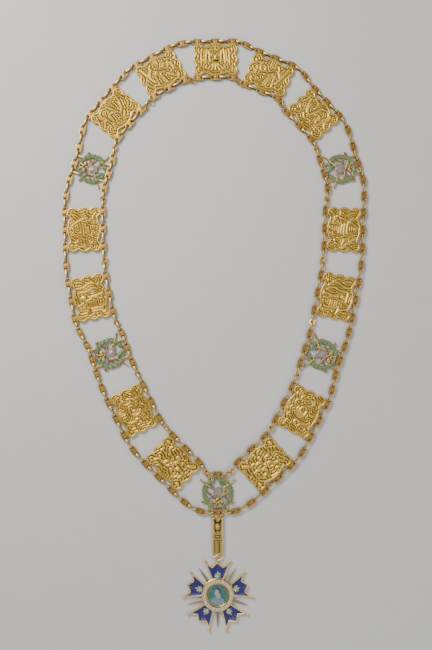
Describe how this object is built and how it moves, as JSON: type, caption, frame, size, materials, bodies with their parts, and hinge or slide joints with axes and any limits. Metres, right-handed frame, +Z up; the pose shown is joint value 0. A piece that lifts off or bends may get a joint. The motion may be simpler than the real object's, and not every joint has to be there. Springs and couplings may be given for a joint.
{
  "type": "order collar",
  "caption": "Ceremonial order collar: lobed relief plaques and pierced enamel wreaths held between two link chains, with a fluted hanger and an enamelled star badge.",
  "frame": {"origin": "under the middle of the whole collar, on the surface it lies on", "axes": "+Z up out of that surface and out of the plaques' faces, +Y from the star towards the top plaque at the nape, +X to the right in the picture"},
  "size_m": [0.2616, 0.5044, 0.0037],
  "materials": {
    "gilt_metal": "satin gilt with darker recesses",
    "green_enamel": "green enamel on gilt metal",
    "blue_enamel": "gloss cobalt enamel",
    "cream_enamel": "gloss cream enamel",
    "teal_enamel": "gloss teal enamel"
  },
  "bodies": {
    "root": {"plaque_01": "gilt_metal", "plaque_02": "gilt_metal", "plaque_03": "gilt_metal", "wreath_04": "green_enamel", "plaque_05": "gilt_metal", "plaque_06": "gilt_metal", "wreath_07": "green_enamel", "plaque_08": "gilt_metal", "plaque_09": "gilt_metal", "wreath_10": "green_enamel", "plaque_11": "gilt_metal", "plaque_12": "gilt_metal", "wreath_13": "green_enamel", "plaque_14": "gilt_metal", "plaque_15": "gilt_metal", "wreath_16": "green_enamel", "plaque_17": "gilt_metal", "plaque_18": "gilt_metal", "outer_chain": "gilt_metal", "inner_chain": "gilt_metal", "hanger": "gilt_metal", "lozenge_ring": "gilt_metal", "star": "gilt_metal", "arm_enamel_1": "blue_enamel", "arm_enamel_2": "blue_enamel", "arm_enamel_3": "blue_enamel", "arm_enamel_4": "blue_enamel", "arm_enamel_5": "blue_enamel", "medallion_ring": "cream_enamel", "medallion": "teal_enamel"}
  },
  "joints": []
}
